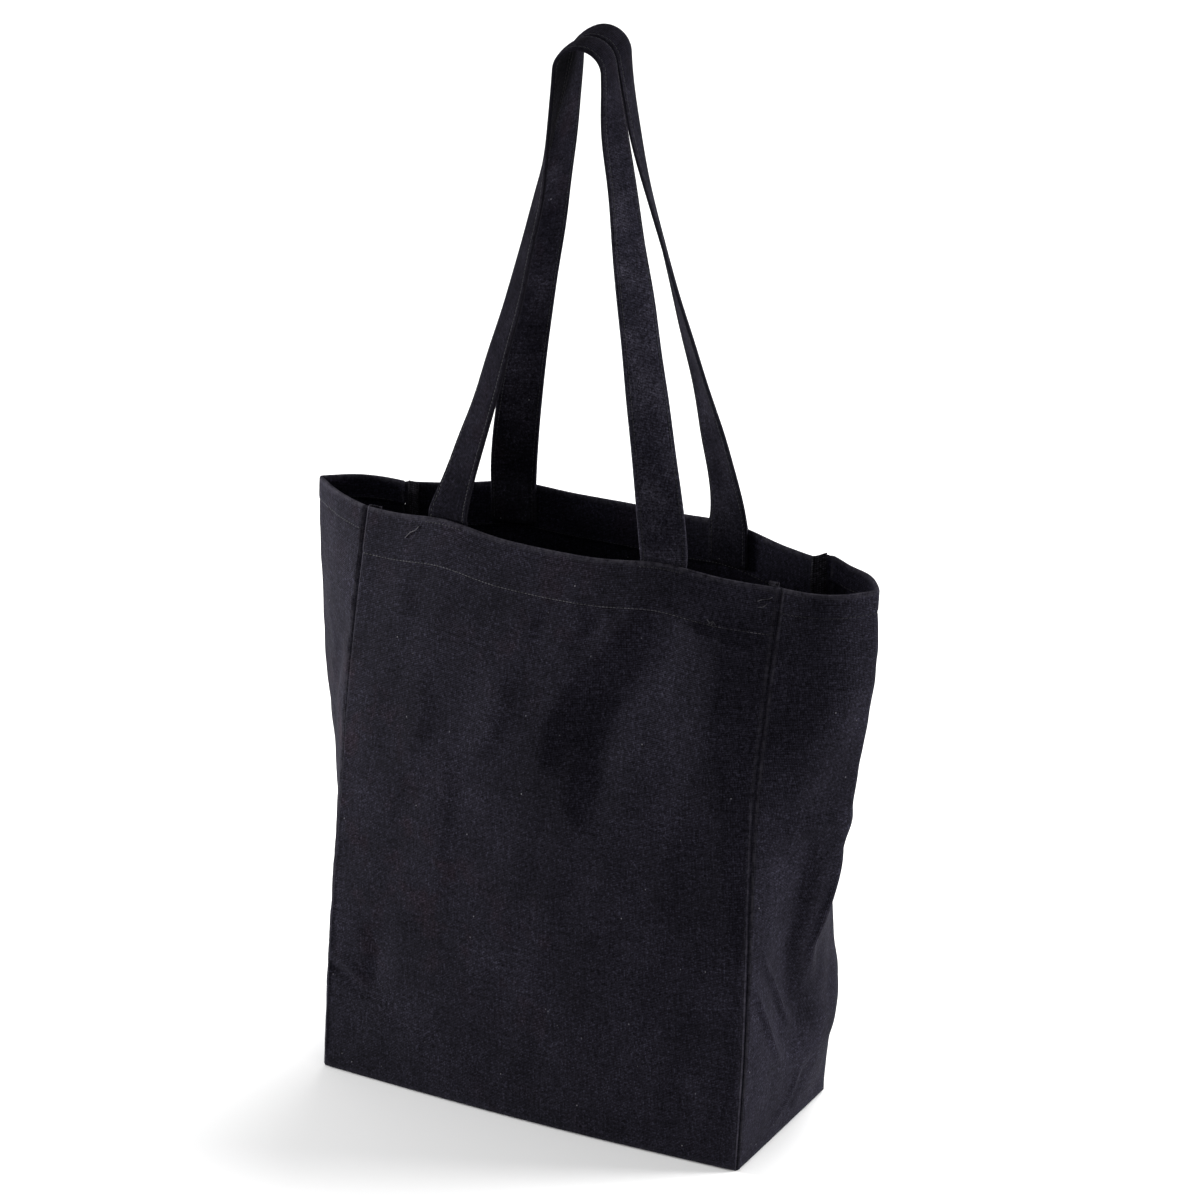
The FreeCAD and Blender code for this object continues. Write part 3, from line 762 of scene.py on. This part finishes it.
def strap_wave(name, place, length, x):
    """How far a strap stands off its middle surface, at a place along it and a distance across it."""
    seed = {"front": 31, "back": 37}[name]
    free = ease(place, 40.0, 90.0) * (1.0 - ease(place, length - 90.0, length - 40.0))
    cup = 1.1 + unevenness(place, 0.0 * place, seed, 0.7, 260.0, 90.0, 5)
    wave = unevenness(place, 0.35 * x, seed + 1, 0.75, 120.0, 32.0, 8)
    tilt = unevenness(place, 0.0 * place, seed + 2, 0.085, 110.0, 34.0, 6)
    return free * (cup * (0.35 - (x / 15.0) ** 2) + wave + tilt * x)


# ---- stitches ----
RING = np.radians(np.arange(0.0, 360.0, 60.0))


def tube_faces(sections, count=1):
    """Faces of six-sided closed tubes, each with the given number of sections."""
    side = len(RING)
    faces = []
    for section in range(sections - 1):
        low = section * side
        for step in range(side):
            after = (step + 1) % side
            faces.append((low + step, low + after, low + side + after, low + side + step))
    last = (sections - 1) * side
    caps = [tuple(range(side))[::-1], tuple(range(last, last + side))]
    starts = np.arange(count)[:, None, None] * sections * side
    quads = (starts + np.array(faces)[None]).reshape(-1, 4).tolist()
    return quads + (starts + np.array(caps)[None]).reshape(-1, side).tolist()


# places along a stitch as shares of its length, with its thickness and rise there
STITCH_SHAPE = ((-0.5, 0.35, -0.35), (-0.34, 0.9, 0.12), (0.0, 1.0, 0.2), (0.34, 0.9, 0.12),
                (0.5, 0.35, -0.35))


def stitch_mesh(centres, along, out, thick=THREAD):
    """One small bar of thread for each stitch, sunk at both ends."""
    along = unit(along)
    side = unit(np.cross(along, out))
    out = unit(np.cross(side, along))
    vertices = []
    for place, fat, rise_by in STITCH_SHAPE:
        for angle in RING:
            vertices.append(centres + along * (place * STITCH)
                            + side * (math.cos(angle) * fat * thick)
                            + out * ((math.sin(angle) * fat * 0.8 + rise_by) * thick))
    return np.stack(vertices, 1).reshape(-1, 3), tube_faces(len(STITCH_SHAPE), len(centres))


def thread_end(panel, path):
    """A loose end of thread on a panel; path is distances across it, below the mouth and off the cloth."""
    knots = np.array(path, float)
    steps = np.linspace(0.0, len(knots) - 1.0, 7 * (len(knots) - 1))
    across, below, off = (np.interp(steps, np.arange(len(knots)), knots[:, axis]) for axis in range(3))
    soft = np.array([0.25, 0.5, 0.25])
    for values in (across, below, off):
        values[1:-1] = np.convolve(values, soft, "valid")
    middle = cloth_points(panel, across, 1.0 - below / WALL, -off)
    ahead = unit(np.gradient(middle, axis=0))
    out = outward(panel, across / PANELS[panel]["width"], np.ones(across.shape))
    side = unit(np.cross(ahead, out))
    out = np.cross(side, ahead)
    rings = [middle + (side * math.cos(angle) + out * math.sin(angle)) * LOOSE_THREAD for angle in RING]
    return np.stack(rings, 1).reshape(-1, 3), tube_faces(len(middle))


# loose ends on the front hem: distances across the panel, below the mouth and off the cloth
THREAD_ENDS = [
    ((257.0, 25.0, 0.3), (259.0, 26.6, 0.9), (261.5, 26.0, 0.5), (260.0, 28.0, 0.8), (262.5, 28.6, 0.4)),
    ((258.5, 27.4, 0.4), (261.0, 25.2, 0.7), (263.0, 27.2, 0.4)),
    ((287.0, 9.5, 0.3), (290.0, 8.0, 0.9), (293.5, 7.4, 0.5), (296.0, 6.0, 0.3)),
    ((288.0, 13.0, 0.3), (291.0, 12.4, 0.8), (293.0, 10.4, 0.4)),
    ((36.0, 14.0, 0.3), (40.0, 10.5, 0.8), (44.0, 9.0, 0.8), (46.5, 6.0, 0.3)),
]


def thread_object(name, parts, material):
    """One object from the points and faces of several pieces of thread."""
    faces, start = [], 0
    for part_vertices, part_faces in parts:
        faces += [[start + corner for corner in face] for face in part_faces]
        start += len(part_vertices)
    vertices = np.concatenate([part_vertices for part_vertices, _ in parts])
    return new_object(name, vertices, faces, vertices[:, :2], None, material)


def hem_row(panel, below, depth, low, high, seed, wander=0.25):
    """Middles, directions and outward normals of a row of stitches at a distance below the mouth."""
    count = int((high - low) / STITCH_PITCH)
    s = low + (np.arange(count) + 0.5) * (high - low) / count
    drift = unevenness(s, 0.0 * s, seed, wander, 90.0, 30.0, 4)
    t = 1.0 - (below + drift) / WALL
    centre = cloth_points(panel, s, t, np.full(s.shape, depth))
    ahead = cloth_points(panel, s + 1.0, t, np.full(s.shape, depth))
    return centre, ahead - centre, outward(panel, s / PANELS[panel]["width"], t)


def make_hem_stitches(panel, name, material):
    """The hem's row of stitches, on both faces of the cloth."""
    width = PANELS[panel]["width"]
    below = PANELS[panel]["hem"] - HEM_ROW
    outer_margin, inner_margin = 3.0, 9.0
    seed = SEEDS[panel] + 50
    outside = hem_row(panel, below, 0.0, outer_margin, width - outer_margin, seed)
    centre, along, out = hem_row(panel, below, CLOTH + HEM_LAYERS, inner_margin,
                                 width - inner_margin, seed)
    parts = [stitch_mesh(*outside), stitch_mesh(centre, along, -out)]
    if panel == "front":
        parts += [thread_end(panel, path) for path in THREAD_ENDS]
    return thread_object(name, parts, material)


def make_strap_rows(panel, name, material):
    """A row of stitches through the hem that holds each of the strap's ends."""
    parts = []
    for sign in (-1.0, 1.0):
        middle = strap_share(panel, sign) * PANELS[panel]["width"]
        row = hem_row(panel, HOLD_ROW, 0.0, middle - HOLD_ROW_REACH, middle + HOLD_ROW_REACH,
                      SEEDS[panel] + 60, 0.1)
        parts.append(stitch_mesh(*row))
    return thread_object(name, parts, material)


def make_strap_edge_stitches(panel, name, material):
    """The rows of stitches along both edges of a strap, on both of its faces."""
    points, across, out, width, along = strap_stations(panel)
    margin = 4.0
    count = int((along[-1] - 2.0 * margin) / STITCH_PITCH)
    places = np.linspace(margin, along[-1] - margin, count)

    def at_places(values):
        return np.stack([np.interp(places, along, values[:, axis]) for axis in range(3)], -1)

    middle, side, normal = at_places(points), unit(at_places(across)), unit(at_places(out))
    direction = np.gradient(middle, axis=0)
    half = np.interp(places, along, width) / 2.0
    parts = []
    for edge in (-1.0, 1.0):
        x = edge * (half - STRAP_EDGE_ROW)
        wave = strap_wave(panel, places, along[-1], x)
        for face in (-1.0, 1.0):
            y = face * (STRAP_THICKNESS / 2.0 - 0.2) + wave
            centres = middle + side * x[:, None] + normal * y[:, None]
            parts.append(stitch_mesh(centres, direction, normal * face, THREAD * 0.9))
    return thread_object(name, parts, material)


# ---- materials ----
def node(tree, kind, inputs=(), **settings):
    """A new node; inputs gives its sockets, by name or number, a value or another node's output."""
    made = tree.nodes.new(kind)
    for key, value in settings.items():
        setattr(made, key, value)
    for key, value in dict(inputs).items():
        if isinstance(value, bpy.types.NodeSocket):
            tree.links.new(value, made.inputs[key])
        elif value is not None:
            made.inputs[key].default_value = value
    return made


def mix_colour(tree, share, first, second):
    """A mix of two colours; a mix node takes them at its sockets 6 and 7 and gives one at its output 2."""
    return node(tree, "ShaderNodeMix", {0: share, 6: first, 7: second}, data_type="RGBA").outputs[2]


def calculate(tree, operation, first, second=None, third=None):
    return node(tree, "ShaderNodeMath", {0: first, 1: second, 2: third}, operation=operation).outputs[0]


def times(tree, first, second):
    return calculate(tree, "MULTIPLY", first, second)


def add_scaled(tree, value, factor, added):
    """The value times a factor, plus what is added."""
    return calculate(tree, "MULTIPLY_ADD", value, factor, added)


def spread(tree, value, low, high):
    """The value stretched so that low is 0 and high is 1, clamped."""
    return node(tree, "ShaderNodeMapRange", {"Value": value, "From Min": low, "From Max": high},
                interpolation_type="SMOOTHSTEP").outputs["Result"]


def combine(tree, operation, first, second):
    """Two vectors combined."""
    return node(tree, "ShaderNodeVectorMath", {0: first, 1: second}, operation=operation).outputs[0]


def scaled(tree, vector, x, y):
    return node(tree, "ShaderNodeMapping", {"Vector": vector, "Scale": (x, y, 1.0)}).outputs["Vector"]


def noise(tree, vector, scale, detail=3.0, roughness=0.55):
    return node(tree, "ShaderNodeTexNoise", {"Vector": vector, "Scale": scale, "Detail": detail,
                                             "Roughness": roughness}).outputs["Fac"]


def point_value(tree, name):
    return node(tree, "ShaderNodeAttribute", attribute_name=name).outputs["Fac"]


def roughened(tree, height, strength, distance):
    """The surface's direction, disturbed by small heights."""
    return node(tree, "ShaderNodeBump", {"Strength": strength, "Distance": distance,
                                         "Height": height}).outputs["Normal"]


def threads(tree, vector, direction, wavelength):
    """Ribs across one direction of the cloth, one thread apart."""
    return node(tree, "ShaderNodeTexWave",
                {"Vector": vector, "Scale": math.pi / (10.0 * wavelength * MM), "Distortion": 1.2,
                 "Detail": 1.0, "Detail Scale": 0.35},
                wave_type="BANDS", bands_direction=direction).outputs["Fac"]


def crossings(tree, place, pitch, fuzz):
    """A random brightness for each crossing of two threads: most dull, a few pale with fibre ends."""
    strayed = combine(tree, "ADD", place, times(tree, fuzz, 0.6 * pitch * MM))
    cell = combine(tree, "SNAP", strayed, (pitch * MM, pitch * 1.12 * MM, 1.0))
    chance = node(tree, "ShaderNodeTexWhiteNoise", {"Vector": cell}, noise_dimensions="2D")
    pale = calculate(tree, "POWER", chance.outputs["Value"], 4.0)
    return add_scaled(tree, pale, 1.0, 0.84)


def specks(tree, place, cell, radius, share):
    """Small specks of lint, at most one to a cell of the given size in millimetres."""
    dots = node(tree, "ShaderNodeTexVoronoi",
                {"Vector": scaled(tree, place, 1000.0 / cell, 730.0 / cell), "Scale": 1.0},
                feature="F1", distance="EUCLIDEAN")
    outside = spread(tree, dots.outputs["Distance"], 0.5 * radius / cell, radius / cell)
    inside = calculate(tree, "SUBTRACT", 1.0, outside)
    chosen = node(tree, "ShaderNodeSeparateColor", {"Color": dots.outputs["Color"]})
    kept = calculate(tree, "GREATER_THAN", chosen.outputs["Red"], 1.0 - share)
    strength = add_scaled(tree, chosen.outputs["Green"], 0.7, 0.3)
    return times(tree, times(tree, inside, kept), strength)


def new_material(name):
    material = bpy.data.materials.new(name)
    material.use_nodes = True
    material.node_tree.nodes.clear()
    return material, material.node_tree


def finish_material(tree, inputs):
    shader = node(tree, "ShaderNodeBsdfPrincipled", inputs)
    node(tree, "ShaderNodeOutputMaterial", {"Surface": shader.outputs["BSDF"]})


def canvas_material(name, dark, light, warm, thread_pitch=0.95, patches=15.0,
                    painted_shade_tone=(0.73, 0.72, 0.82), gloss=0.025):
    """Black plain-weave canvas: weave, slubs, fading, lint, worn edges with a painted highlight, and
    painted shade.

    patches is how closely the faded patches lie, and the tone argument the share of its colour that cloth
    keeps under painted shade.
    """
    material, tree = new_material(name)
    place = node(tree, "ShaderNodeUVMap", uv_map="cloth").outputs["UV"]

    # the weave, thick and thin threads, and fuzz between them
    warp = threads(tree, place, "X", thread_pitch)
    weave = times(tree, warp, threads(tree, place, "Y", thread_pitch * 1.12))
    slub_warp = noise(tree, scaled(tree, place, 900.0, 42.0), 1.0)
    slub_weft = noise(tree, scaled(tree, place, 38.0, 800.0), 1.0)
    slubs = calculate(tree, "ADD", slub_warp, slub_weft)
    fuzz = noise(tree, place, 1300.0, 2.0, 0.8)
    heather = noise(tree, place, 430.0, 3.0, 0.85)

    # fading in soft patches, and a reddish cast in smaller ones on the left
    fading = noise(tree, place, patches, 4.0, 0.6)
    colour = mix_colour(tree, spread(tree, fading, 0.3, 0.72), dark, light)
    cast = noise(tree, scaled(tree, place, 1.0, 0.8), 44.0, 3.0, 0.6)
    object_place = node(tree, "ShaderNodeTexCoord").outputs["Object"]
    across = node(tree, "ShaderNodeSeparateXYZ", {"Vector": object_place}).outputs["X"]
    to_the_left = spread(tree, times(tree, across, -1.0), -0.07, 0.04)
    where = times(tree, spread(tree, noise(tree, place, 7.0, 1.0, 0.5), 0.38, 0.6), to_the_left)
    reddish = times(tree, spread(tree, cast, 0.5, 0.66), where)
    colour = mix_colour(tree, times(tree, reddish, 0.7), colour, warm)

    # light and dark threads
    tone = add_scaled(tree, slubs, 0.6, times(tree, weave, 0.8))
    tone = add_scaled(tree, fuzz, 1.3, tone)
    tone = add_scaled(tree, heather, 2.0, tone)
    shade = add_scaled(tree, spread(tree, tone, 1.75, 3.25), 1.7, 0.05)
    shade = times(tree, shade, crossings(tree, place, thread_pitch, fuzz))
    colour = node(tree, "ShaderNodeVectorMath", {0: colour, "Scale": shade}, operation="SCALE").outputs[0]

    # painted shade: the inside of the bag and parts of the straps are darkened in colour
    inner = point_value(tree, "inner")
    colour = mix_colour(tree, inner, colour, combine(tree, "MULTIPLY", colour, painted_shade_tone))

    # rubbed edges, with a painted highlight along the mouth's edge and the seams' lips, and lint
    worn_and_highlit = times(tree, point_value(tree, "wear_and_highlight"), spread(tree, noise(tree, place, 260.0, 3.0), 0.25, 0.7))
    colour = mix_colour(tree, times(tree, worn_and_highlit, 0.8), colour, (0.034, 0.032, 0.040, 1.0))
    small = times(tree, specks(tree, place, 2.4, 0.36, 0.30), 0.28)
    colour = mix_colour(tree, small, colour, (0.060, 0.057, 0.066, 1.0))
    large = times(tree, specks(tree, place, 8.0, 0.50, 0.34), 0.9)
    colour = mix_colour(tree, large, colour, (0.150, 0.144, 0.160, 1.0))

    relief_height = add_scaled(tree, fuzz, 0.35, add_scaled(tree, slubs, 0.8, weave))
    finish_material(tree, {
        "Base Color": colour,
        "Normal": roughened(tree, relief_height, 0.6, 0.00032),
        "Roughness": add_scaled(tree, fuzz, 0.15, 0.82),
        "Specular IOR Level": gloss,
        # less sheen where the painted shade lies
        "Sheen Weight": add_scaled(tree, inner, -0.010, 0.012),
        "Sheen Roughness": 0.4,
        "Sheen Tint": (0.66, 0.63, 0.80, 1.0),
    })
    return material


def thread_material(name, dark, light):
    """Black sewing thread with a slight gloss and its twist."""
    material, tree = new_material(name)
    place = node(tree, "ShaderNodeTexCoord").outputs["Object"]
    patch = spread(tree, noise(tree, place, 160.0, 2.0), 0.35, 0.65)
    twist = noise(tree, place, 5200.0, 1.0)
    finish_material(tree, {
        "Base Color": mix_colour(tree, patch, dark, light),
        "Normal": roughened(tree, twist, 0.38, 0.0001),
        "Roughness": add_scaled(tree, twist, 0.2, 0.5),
        "Specular IOR Level": 0.12,
    })
    return material


# ---- stage ----
def make_floor():
    """The white ground, a hair below the cloth."""
    bpy.ops.mesh.primitive_plane_add(size=40.0, location=(0.0, 0.0, -0.0004))
    floor = bpy.context.object
    floor.name = "floor"
    material, tree = new_material("floor")
    white = (0.93, 0.93, 0.93, 1.0)
    finish_material(tree, {"Base Color": white, "Roughness": 0.9, "Specular IOR Level": 0.1})
    floor.data.materials.append(material)


def make_light(name, place, aim, size, power, spread_angle=180.0):
    data = bpy.data.lights.new(name, "AREA")
    data.shape = "DISK"
    data.size = size
    data.energy = power
    data.spread = math.radians(spread_angle)
    light = bpy.data.objects.new(name, data)
    light.location = place
    light.rotation_euler = (Vector(aim) - Vector(place)).to_track_quat("-Z", "Y").to_euler()
    bpy.context.scene.collection.objects.link(light)


def make_stage():
    make_floor()
    make_light("key", (-3.0, -0.52, 0.49), (0.0, 0.0, 0.36), 0.8, 222.0)
    make_light("overhead", (0.0, 2.3, 2.7), (0.0, 0.0, 0.0), 2.4, 92.0)
    make_light("right_back", (2.4, 1.5, 0.7), (0.1, 0.0, 0.08), 1.2, 42.0, 90.0)
    world = bpy.data.worlds.new("studio")
    bpy.context.scene.world = world
    world.use_nodes = True
    background = world.node_tree.nodes["Background"]
    background.inputs["Color"].default_value = (1.0, 1.0, 1.0, 1.0)
    background.inputs["Strength"].default_value = 0.54
    bpy.context.scene.view_settings.view_transform = "Standard"


def make_camera():
    """The photographed view: from the front and right, a little above."""
    azimuth, elevation = math.radians(28.3), math.radians(22.2)
    target = Vector((0.020, 0.0, 0.334))
    distance = 3.0
    back = Vector((math.sin(azimuth) * math.cos(elevation),
                   -math.cos(azimuth) * math.cos(elevation),
                   math.sin(elevation)))
    data = bpy.data.cameras.new("camera")
    data.lens = 146.9
    data.sensor_width = 36.0
    camera = bpy.data.objects.new("camera", data)
    camera.location = target + back * distance
    camera.rotation_euler = (-back).to_track_quat("-Z", "Y").to_euler()
    bpy.context.scene.collection.objects.link(camera)
    bpy.context.scene.camera = camera


# ---- the bag ----
# for each panel the CAD parts that its cloth and stitches stand for, the cloth's flat size in metres
# and the spacing of its points in millimetres
CLOTHS = {
    "front": ("front_panel", "front_hem", "front_hem_stitching", (0.320, 0.420), 2.4),
    "back": ("back_panel", "back_hem", "back_hem_stitching", (0.320, 0.420), 2.4),
    "left": ("left_gusset", "left_gusset_hem", "left_gusset_stitching", (0.145, 0.400), 1.8),
    "right": ("right_gusset", "right_gusset_hem", "right_gusset_stitching", (0.145, 0.400), 1.8),
}


def build():
    canvas = canvas_material("canvas", (0.0084, 0.0079, 0.0119, 1.0), (0.0136, 0.0127, 0.0192, 1.0),
                             (0.0150, 0.0104, 0.0150, 1.0))
    # the straps' painted shade darkens their colour to about a third
    strap_canvas = canvas_material("strap_canvas", (0.0098, 0.0093, 0.0141, 1.0),
                                   (0.0232, 0.0218, 0.0304, 1.0), (0.0190, 0.0140, 0.0195, 1.0),
                                   thread_pitch=0.85, patches=34.0,
                                   painted_shade_tone=(0.34, 0.335, 0.36), gloss=0.008)
    cut_edge = canvas_material("cut_edge", (0.0110, 0.0102, 0.0135, 1.0), (0.0180, 0.0170, 0.0215, 1.0),
                               (0.0150, 0.0125, 0.0150, 1.0), thread_pitch=1.3)
    thread = thread_material("thread", (0.0050, 0.0047, 0.0066, 1.0), (0.0120, 0.0113, 0.0145, 1.0))
    hem_thread = thread_material("hem_thread", (0.0120, 0.0113, 0.0145, 1.0), (0.0480, 0.0450, 0.0530, 1.0))

    for panel, (label, hem, row, flat, spacing) in CLOTHS.items():
        cloth = make_panel(panel, label + "_cloth", spacing, canvas)
        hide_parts(label, hem)
        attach(cloth, "bag")
        row_thread = hem_thread if panel == "front" else thread
        stitches = make_hem_stitches(panel, label + "_hem_thread", row_thread)
        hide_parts(row)
        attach(stitches, "bag")
        turned = make_base_seam(panel, panel + "_base_allowance", cut_edge)
        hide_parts(panel + "_base_seam")
        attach(turned, "bag")
    for panel in ("front", "back"):
        for at_right, side in ((False, "left"), (True, "right")):
            edge = make_upright_seam(panel, at_right, f"{panel}_{side}_allowance", cut_edge)
            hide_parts(f"{panel}_{side}_seam")
            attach(edge, "bag")
        body = panel + "_handle"
        strap = make_strap(panel, strap_canvas)
        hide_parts(body, body + "_left_end", body + "_right_end")
        edge_rows = make_strap_edge_stitches(panel, panel + "_strap_edge_thread", thread)
        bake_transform(strap)
        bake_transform(edge_rows)
        hold = make_strap_rows(panel, panel + "_strap_hold_thread", thread)
        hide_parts(panel + "_strap_stitching")
        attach(hold, "bag")
    base = make_base("base_cloth", canvas)
    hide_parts("bottom_panel")
    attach(base, "bag")


make_camera()
make_stage()
build()
